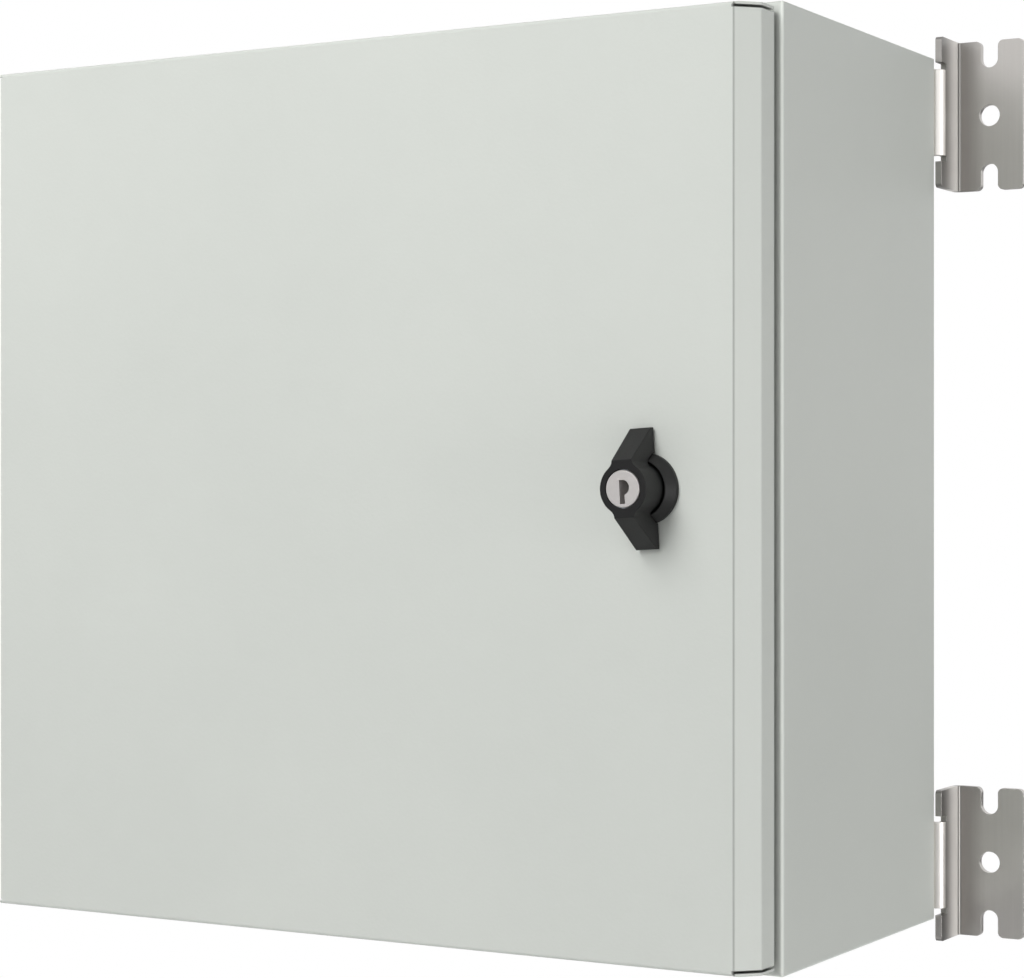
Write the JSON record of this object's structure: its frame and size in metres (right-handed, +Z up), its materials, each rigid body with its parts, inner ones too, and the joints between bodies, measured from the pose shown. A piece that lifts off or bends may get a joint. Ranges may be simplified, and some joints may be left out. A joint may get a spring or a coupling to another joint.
{
  "type": "steel wall enclosure",
  "caption": "Sheet-steel wall enclosure with a concealed-hinge door, foam seal, key-lockable wing knob, mounting plate, gland plate and folded wall brackets.",
  "frame": {"origin": "on the wall plane, at the centre of the four wall holes in the brackets", "axes": "+X to the right seen from the front, +Y towards the wall, +Z up"},
  "size_m": [0.47, 0.2395, 0.42],
  "materials": {
    "grey_paint": "light grey powder coat with fine orange peel",
    "stainless_steel": "brushed stainless steel",
    "zinc_plated_steel": "zinc plated",
    "galvanised_sheet": "galvanised sheet",
    "dark_foam_rubber": "matt foam",
    "black_plastic": "finely grained black plastic",
    "nickel_plated_face": "bright nickel, finely turned"
  },
  "bodies": {
    "enclosure": {"body_shell": "grey_paint", "mounting_plate": "galvanised_sheet", "plate_studs": "zinc_plated_steel", "plate_spacers": "zinc_plated_steel", "plate_washers": "zinc_plated_steel", "plate_nuts": "zinc_plated_steel", "gland_gasket": "dark_foam_rubber", "gland_plate": "grey_paint", "gland_screws": "zinc_plated_steel", "gland_nuts": "zinc_plated_steel", "upper_left_bracket": "stainless_steel", "upper_right_bracket": "stainless_steel", "lower_left_bracket": "stainless_steel", "lower_right_bracket": "stainless_steel", "bracket_seals": "dark_foam_rubber", "bracket_bolts": "zinc_plated_steel", "bracket_washers": "zinc_plated_steel", "bracket_nuts": "zinc_plated_steel", "upper_hinge_body_leaf": "zinc_plated_steel", "lower_hinge_body_leaf": "zinc_plated_steel", "hinge_screws": "zinc_plated_steel", "hinge_nuts": "zinc_plated_steel", "body_earth_stud": "zinc_plated_steel", "body_earth_washer": "zinc_plated_steel", "body_earth_nut": "zinc_plated_steel"},
    "door": {"door_skin": "grey_paint", "door_gasket": "dark_foam_rubber", "upper_hinge_door_leaf": "zinc_plated_steel", "lower_hinge_door_leaf": "zinc_plated_steel", "upper_hinge_pin": "zinc_plated_steel", "lower_hinge_pin": "zinc_plated_steel", "door_earth_stud": "zinc_plated_steel", "door_earth_washer": "zinc_plated_steel", "door_earth_nut": "zinc_plated_steel", "lock_collar": "black_plastic", "collar_seal": "dark_foam_rubber", "lock_nut": "zinc_plated_steel"},
    "knob": {"wing_knob": "black_plastic", "lock_core": "zinc_plated_steel", "locking_cam": "zinc_plated_steel", "cam_washer": "zinc_plated_steel", "cam_screw": "zinc_plated_steel"},
    "key_cylinder": {"key_plug": "nickel_plated_face"}
  },
  "joints": [
    {"name": "door_hinge", "type": "hinge", "parent": "enclosure", "child": "door", "pos_m": [-0.1915, -0.2075, 0], "axis": [0, 0, -1], "range_deg": [0, 120]},
    {"name": "knob_turn", "type": "hinge", "parent": "door", "child": "knob", "pos_m": [0.149, -0.2181, 0], "axis": [0, -1, 0], "range_deg": [-3.3, 86.7]},
    {"name": "key_turn", "type": "hinge", "parent": "knob", "child": "key_cylinder", "pos_m": [0.149, -0.2395, 0], "axis": [0, -1, 0], "range_deg": [0, 90]}
  ]
}
